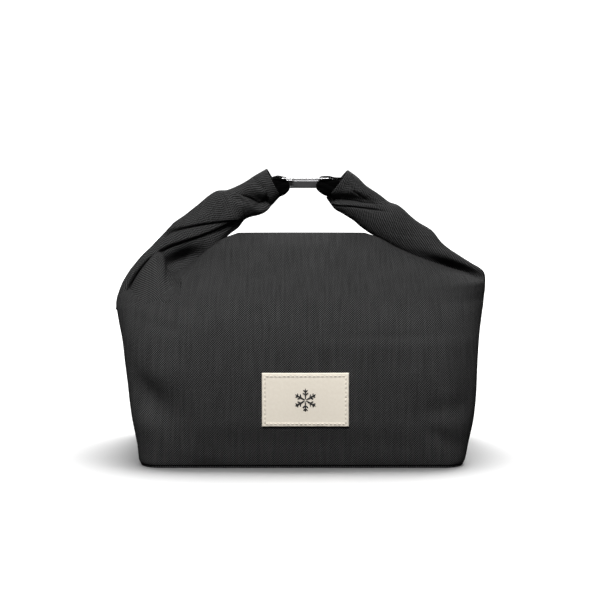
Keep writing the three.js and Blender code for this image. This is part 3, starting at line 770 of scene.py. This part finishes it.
def fold_offset(x, z, fold):
    """How far a fold moves each point outward."""
    points, depth, width, over, over_reach, under, under_reach, (start, end) = fold
    line = flowing([(px, pz, 0) for px, pz in points], 90)[:, :2]
    flat = np.stack([x.ravel(), z.ravel()], axis=1)
    gap = flat[:, None, :] - line[None]
    distance = np.sqrt((gap ** 2).sum(axis=2))
    nearest = distance.argmin(axis=1)
    way = np.gradient(line, axis=0)
    way /= np.linalg.norm(way, axis=1)[:, None]
    near_gap, near_way = gap[np.arange(len(flat)), nearest], way[nearest]
    side = near_way[:, 0] * near_gap[:, 1] - near_way[:, 1] * near_gap[:, 0]
    share = nearest / (len(line) - 1)
    fade = smooth(0, start, share) * smooth(1, 1 - end, share)
    d = np.abs(side)
    rounded = 1 - np.exp(-d / 0.9)
    offset = -depth * np.exp(-(d / width) ** 2)
    offset = offset + np.where(side > 0, over * np.exp(-(d / over_reach) ** 2) * rounded,
                               -under * np.exp(-(d / under_reach) ** 1.5))
    return (offset * fade).reshape(x.shape)


def arm_grid(stations, folds, pockets):
    """An arm's cloth from its root to its open end, with its folds and hollows."""
    line = np.array(stations, float)
    middle = np.stack([(line[:, 0] + line[:, 2]) / 2, line[:, 4], (line[:, 1] + line[:, 3]) / 2], axis=1)
    across = np.stack([(line[:, 2] - line[:, 0]) / 2, (line[:, 3] - line[:, 1]) / 2], axis=1)
    path = flowing(np.hstack([middle, across, line[:, 5:7]]), ARM_ROWS)
    turn = np.linspace(0, 2 * math.pi, ARM_COLUMNS, endpoint=False)
    wide, deep = np.cos(turn), squared(np.sin(turn), ARM_POWER)
    x = path[:, 0:1] + path[:, 3:4] * wide
    z = path[:, 2:3] + path[:, 4:5] * wide
    y = path[:, 1:2] - np.where(deep > 0, path[:, 5:6] * deep, path[:, 6:7] * deep)
    grid = np.stack([x, y, z], axis=-1)
    if stations[0][0] > 0:
        grid = grid[:, ::-1]
    normal = grid_normals(grid, True)
    front = smooth(0.02, 0.42, -normal[..., 1])
    before = smooth(0.05, 0.5, -normal[..., 1])
    back = smooth(0.02, 0.42, normal[..., 1])
    out = uneven(grid, make_waves(8, 30)) * 0.45 + uneven(grid, make_waves(8, 12)) * 0.1
    for fold in folds["front"]:
        out = out + fold_offset(grid[..., 0], grid[..., 2], fold) * front
    for fold in folds["back"]:
        out = out + fold_offset(grid[..., 0], grid[..., 2], fold) * back
    for pocket in pockets:
        grid[..., 1] += dent(grid[..., 0], grid[..., 2], pocket) * before
    return grid + normal * out[..., None]


def make_arm(side, stations, folds, pockets):
    """An arm, its open end closed by a hem turned in and a floor inside it."""
    grid = arm_grid(stations, folds, pockets)
    end = grid[-1]
    middle = end.mean(axis=0)
    ahead = middle - grid[-4].mean(axis=0)
    ahead /= np.linalg.norm(ahead)
    inside = [end + ahead * 0.5 + (middle - end) * 0.03, end + ahead * 0.3 + (middle - end) * 0.1,
              end - ahead * 1.0 + (middle - end) * 0.14, end - ahead * 5 + (middle - end) * 0.16]
    rings = np.concatenate([grid, np.array(inside)])
    uv = grid_uv(rings)
    uv[..., 0] += uv[..., 1] * 0.35
    piece = tube(side + "_handle_arm_cloth", rings, uv, twill, None)
    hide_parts(side + "_arm")
    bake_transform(piece)


# ---------- left shoulder ----------
# The body's cloth runs on over the left arm's root: the flap's lower edge on the body's front, and its
# upper edge along the fold beside the arm's outer strip, over its peak and down into the pocket.
FLAP_LOW = [(-134, 104), (-127, 108), (-118, 112), (-108, 115), (-98, 118), (-88, 122)]
FLAP_HIGH = [(-132, 113), (-128, 121.5), (-123.5, 129.8), (-119.3, 136.2), (-112.5, 144.5), (-107, 149.2),
             (-103, 148.4), (-100.8, 144.5), (-99.3, 139), (-95, 134.6), (-88.5, 133.4)]


def front_surface(x, z):
    """The y of the body's front at a place, from its sections."""
    y = np.empty_like(x)
    for index in np.ndindex(x.shape):
        section = half_section(z[index], False, 0, 160)
        y[index] = np.interp(x[index], section[::-1, 0], section[::-1, 1])
    return y


def make_shoulder():
    low = flowing([(x, z, 0) for x, z in FLAP_LOW], 110)[:, :2]
    high = flowing([(x, z, 0) for x, z in FLAP_HIGH], 110)[:, :2]
    share = np.linspace(0, 1, 70)[:, None, None]
    flat = low[None] * (1 - share) + high[None] * share
    base_y = front_surface(low[:, 0], low[:, 1])
    ahead_y = front_surface(low[:, 0], low[:, 1] + 3)
    slope = (ahead_y - base_y) / 3
    rise = np.linalg.norm(high - low, axis=1)
    top_y = np.interp(high[:, 0], (-132, -119, -107, -99, -88), (-12, -13, -7.5, -16, -30))
    t = np.linspace(0, 1, 70)[:, None]
    bend = slope * rise
    y = (base_y * (2 * t ** 3 - 3 * t ** 2 + 1) + bend * (t ** 3 - 2 * t ** 2 + t)
         + top_y * (3 * t ** 2 - 2 * t ** 3) + bend * 0.5 * (t ** 3 - t ** 2))
    y = y + 0.9 - 1.5 * smooth(0, 0.16, t) + 3.5 * smooth(0.9, 1, t) ** 2
    grid = np.stack([flat[..., 0], y, flat[..., 1]], axis=-1)
    normal = grid_normals(grid, False)
    out = uneven(grid, slow_waves) * 0.6 - dent(grid[..., 0], grid[..., 2], SHOULDER_CREASE)
    grid = grid + normal * (out * smooth(0, 0.2, t))[..., None]
    piece = shell("left_shoulder_cloth", grid, 0.7, grid_uv(grid), twill, None)
    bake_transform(piece)


# ---------- rolled top ----------
ROLL_SHORT, ROLL_DROP, ROLL_END = 4, 9, 16  # cut from each end, the ends' drop and their rounding


def make_roll():
    low, high = (corner * 1000 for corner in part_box("top_roll"))
    half = (high.x - low.x) / 2 - ROLL_SHORT
    turn = np.linspace(0, 2 * math.pi, 60, endpoint=False)
    rings = []
    for x in np.linspace(-half, half, 150):
        drop = ROLL_DROP * (x / half) ** 2
        rounded = math.sqrt(1.02 - max(0, (abs(x) - half + ROLL_END) / ROLL_END) ** 2)
        y = (low.y + high.y) / 2 + (high.y - low.y) / 2 * 0.92 * rounded * np.cos(turn)
        tall = ((high.z - low.z) / 2 - drop * 0.25) * rounded
        z = (high.z + low.z) / 2 - drop + tall * squared(np.sin(turn), 0.7)
        spiral = 1.2 * np.exp(-((turn - 1.9 - 0.1 * math.sin(x / 23)) / 0.16) ** 2)
        y = y - spiral * np.cos(turn)
        z = z - spiral * np.sin(turn)
        rings.append(np.stack([np.full(turn.size, x), y, z], axis=1))
    grid = np.array(rings)
    normal = grid_normals(grid, True)
    grid = grid + normal * (uneven(grid, make_waves(8, 26)) * 0.5)[..., None]
    piece = tube("top_roll_cloth", grid, grid_uv(grid), twill, "bag")
    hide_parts("top_roll")


# ---------- webbing at the ring ----------
# The outline of the bunched webbing beside the ring, seen from the front, for the left arm and the
# right one, from the ring's middle outwards and round.
# These flanks stand where the arm's end lies in deep shade; their near-black webbing colour is partly
# painted shade for it.
LEFT_NUB = [(-9, 199.8), (-8.9, 195.8), (-12, 192), (-16, 189.9), (-19.2, 190.6), (-21.5, 195), (-23.4, 200),
            (-23.6, 202.6), (-18.5, 204.2), (-13.5, 203.4), (-10.2, 202.4)]
RIGHT_NUB = [(10.5, 199.6), (11, 196.2), (13.5, 193.4), (18, 190.6), (21.5, 190.8), (25.5, 195), (29.6, 200),
             (31, 202.6), (25, 203.2), (19.5, 203.9), (13.6, 203)]
FLANK_ROOM = 9.6  # the ring's half depth with its clearance
FLANK = 2.2


def make_nub(side, outline, creases):
    """Two bunched flanks of webbing, in front of the ring's end and behind it."""
    low, high = (corner * 1000 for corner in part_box("clip_frame"))
    centre_y, centre_z = (low.y + high.y) / 2, (low.z + high.z) / 2
    outline = np.array(outline + outline[:1], float)
    ring = flowing(np.hstack([outline, np.zeros((len(outline), 1))])[:, [0, 2, 1]], 121)[:-1]
    middle = ring.mean(axis=0)
    if side == "left":
        ring = ring[::-1]
    for place, sign in (("front", -1), ("back", 1)):
        rings = []
        for turn in np.linspace(0, math.pi, 26):
            share = 1 - 0.35 * (1 - math.sin(turn)) ** 1.6
            rings.append((share, FLANK / 2 * (1 - math.cos(turn))))
        rings = [(0.1, 0), (0.35, 0)] + rings + [(0.45, FLANK), (0.25, FLANK), (0.08, FLANK)]
        grid = []
        for share, out in rings:
            part = middle + (ring - middle) * share
            beyond = np.maximum(np.abs(part[:, 2] - centre_z) - 3.6, 0) / 6.5
            room = FLANK_ROOM * np.sqrt(np.maximum(0.12, 1 - beyond ** 2))
            part[:, 1] = centre_y + sign * (room + out)
            grid.append(part)
        grid = np.array(grid)
        if sign > 0:
            grid = grid[:, ::-1]
        normal = grid_normals(grid, True)
        x, z = grid[..., 0], grid[..., 2]
        out = uneven(grid, make_waves(7, 9)) * 0.3
        for slope, offset in creases:
            line = (z - 197) - slope * (x - middle[0]) - offset
            out = out - 0.8 * np.exp(-(line / 0.8) ** 2)
        away = smooth(0.2, 1.4, sign * (grid[..., 1] - centre_y) - FLANK_ROOM)
        grid = grid + normal * (out * away)[..., None]
        uv = np.stack([x, z], axis=-1)
        tube(f"{side}_webbing_{place}", grid, uv, webbing, f"{side}_handle_arm")


BAR_RADIUS = 1.7  # the ring's end bar
STRAP_HALF = 4.1  # half the webbing's width


def make_loop(side, sign, closed):
    """The webbing band round the ring's end bar. The right band is open, so that the ring can leave."""
    low, high = (corner * 1000 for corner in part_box("clip_frame"))
    bar_x = (high.x if sign > 0 else low.x) - sign * BAR_RADIUS
    middle_y, middle_z = 10, (low.z + high.z) / 2
    reach = math.pi if closed else math.radians(56)
    rings = []
    turns = np.linspace(-reach, reach, 60)
    for turn in turns:
        out = np.array([sign * math.cos(turn), 0, math.sin(turn)])
        section = []
        for angle in np.linspace(0, 2 * math.pi, 28, endpoint=False):
            radius = 4.55 + 0.55 * squared(math.cos(angle), 0.5)
            section.append(np.array([bar_x, middle_y, middle_z]) + out * radius
                           + np.array([0, STRAP_HALF * squared(math.sin(angle), 0.35), 0]))
        rings.append(section)
    grid = np.array(rings)
    if sign < 0:
        grid = grid[:, ::-1]
    uv = np.stack([grid[..., 1], np.repeat(turns[:, None] * 4.5, grid.shape[1], axis=1)], axis=-1)
    band = tube(f"{side}_loop_band", grid, uv, webbing, f"{side}_handle_arm")
    turn = np.linspace(0, 2 * math.pi, 36, endpoint=False)
    y = middle_y + STRAP_HALF * squared(np.cos(turn), 0.35)
    z = middle_z + 1.2 * squared(np.sin(turn), 0.5)
    grid = np.array([np.stack([np.full(turn.size, x), y, z], axis=1)
                     for x in bar_x + sign * np.linspace(4.9, 12, 16)])
    if sign < 0:
        grid = grid[:, ::-1]
    uv = np.stack([grid[..., 1], grid[..., 0]], axis=-1)
    tube(f"{side}_loop_tail", grid, uv, webbing, f"{side}_handle_arm")
    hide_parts(f"{side}_loop")


# ---------- label ----------
LABEL_EDGE = 3.2  # the turned hem's width
STITCH = (2.3, 0.42)  # a stitch's length and the thread's radius
FACE_HALF_WIDTH = 118  # the front face's, between its rounded corners


def label_place(x, z):
    """Points on the front face where the label lies."""
    front, crown = (through(LEVELS[:, 0], LEVELS[:, k], z) for k in (3, 7))
    y = -(SEAM_ROOM + front + crown * np.cos(math.pi / 2 * x / FACE_HALF_WIDTH) ** 2)
    return np.stack([x, y, z], axis=-1)


def label_grid(width, height, off, count_x, count_z, centre):
    """A grid that stands off the slumped front face by a distance."""
    x, z = np.meshgrid(np.linspace(-width / 2, width / 2, count_x) + centre[0],
                       np.linspace(-height / 2, height / 2, count_z) + centre[1])
    grid = label_place(x, z)
    wave = slack(grid)
    for hollow in FRONT_HOLLOWS:
        wave -= dent(x, z, hollow)
    grid[..., 1] -= wave + off
    return grid


def make_label():
    low, high = (corner * 1000 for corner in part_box("label"))
    width, height = high.x - low.x, high.z - low.z
    centre = ((low.x + high.x) / 2, (low.z + high.z) / 2)
    grid = label_grid(width, height, 1.25, 190, 120, centre)
    x, z = grid[..., 0] - centre[0], grid[..., 2] - centre[1]
    edge = np.minimum(width / 2 - np.abs(x), height / 2 - np.abs(z))
    hem = 0.22 * (1 - smooth(LABEL_EDGE - 0.4, LABEL_EDGE + 0.3, edge))
    dip = -0.16 * np.exp(-((edge - 2.3) / 0.5) ** 2) - 0.75 * (1 - smooth(0, 0.7, edge))
    ripple = 0.1 * np.sin(x / 1.9 + np.sin(z)) * np.exp(-edge / 3)
    grid[..., 1] -= hem + dip + ripple
    uv = np.stack([x, z], axis=-1)
    piece = shell("label_cloth", grid, 0.55, uv, cotton, "bag")
    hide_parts("label")
    stitches = make_stitches(width - 4.6, height - 4.6, centre)
    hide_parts("label_stitching")
    mark = make_mark(centre)


def capsule(a, b, radius, lift, sides=8, steps=9):
    """A short raised thread from a to b, as rings."""
    a, b = np.array(a, float), np.array(b, float)
    along = (b - a) / np.linalg.norm(b - a)
    out = np.array([0, -1.0, 0])
    side = np.cross(along, out)
    side /= np.linalg.norm(side)
    rings = []
    for share in np.linspace(0, 1, steps):
        size = radius * math.sqrt(max(0.03, 1 - (2 * share - 1) ** 4))
        centre = a + (b - a) * share + out * lift * math.sin(math.pi * share)
        turn = np.linspace(2 * math.pi, 0, sides, endpoint=False)
        rings.append(centre + size * (np.cos(turn)[:, None] * side + np.sin(turn)[:, None] * out))
    return np.array(rings)


def joined_threads(name, threads, material, body):
    """Many threads as one piece."""
    points, faces, uv = [], [], []
    for rings in threads:
        rows, columns = rings.shape[:2]
        start = sum(len(p) for p in points)
        faces += quads(rows, columns, start, closed=True).tolist()
        faces.append([start + i for i in range(columns)][::-1])
        faces.append([start + (rows - 1) * columns + i for i in range(columns)])
        points.append(rings.reshape(-1, 3))
        uv.append(rings.reshape(-1, 3)[:, [0, 2]])
    return object_from(name, np.vstack(points), faces, np.vstack(uv), material, body)


def make_stitches(width, height, centre):
    corners = [(-width / 2, -height / 2), (width / 2, -height / 2), (width / 2, height / 2),
               (-width / 2, height / 2)]
    threads = []
    for (ax, az), (bx, bz) in zip(corners, corners[1:] + corners[:1]):
        length = math.hypot(bx - ax, bz - az)
        count = round(length / (STITCH[0] + 0.8))
        for i in range(count):
            ends = []
            for share in ((i + 0.14) / count, (i + 0.86) / count):
                x, z = ax + (bx - ax) * share + centre[0], az + (bz - az) * share + centre[1]
                ends.append(label_grid(0.02, 0.02, 1.42, 2, 2, (x, z))[0, 0])
            threads.append(capsule(ends[0], ends[1], STITCH[1], 0.16))
    return joined_threads("label_stitches", threads, cream_thread, "bag")


def make_mark(centre):
    """A plain six-armed snow crystal, embroidered in black thread, for a bag that keeps things cold."""
    threads = []
    size = 8.5

    def at(x, z):
        return label_grid(0.02, 0.02, 1.5, 2, 2, (centre[0] + x, centre[1] + z))[0, 0]

    for arm in range(6):
        turn = math.pi / 6 + arm * math.pi / 3
        way = np.array([math.cos(turn), math.sin(turn)])
        threads.append(capsule(at(*(way * 0.6)), at(*(way * size)), 0.5, 0.05, steps=14))
        for share, length in ((0.45, 2.6), (0.72, 2.0)):
            for lean in (-1, 1):
                branch = turn + lean * math.radians(52)
                start = way * size * share
                end = start + length * np.array([math.cos(branch), math.sin(branch)])
                threads.append(capsule(at(*start), at(*end), 0.42, 0.04, steps=10))
    return joined_threads("label_mark", threads, black_thread, "bag")


def make_clip():
    for name, finish in {"clip_frame": polished, "clip_gate": brushed, "gate_pin": polished,
                         "gate_spring": polished}.items():
        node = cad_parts[name]
        node.data.materials.clear()
        node.data.materials.append(finish)


make_camera()
make_stage()
make_panels()
make_base()
make_lining()
make_roll()
make_arm("left", LEFT_STATIONS, LEFT_FOLDS, LEFT_POCKETS)
make_arm("right", RIGHT_STATIONS, RIGHT_FOLDS, RIGHT_POCKETS)
make_shoulder()
make_nub("left", LEFT_NUB, [(0.5, 2.5), (0.5, -3), (-0.2, 5)])
make_nub("right", RIGHT_NUB, [(-0.45, 2.0), (-0.45, -3), (0.2, 5)])
make_loop("left", -1, True)
make_loop("right", 1, False)
make_label()
make_clip()
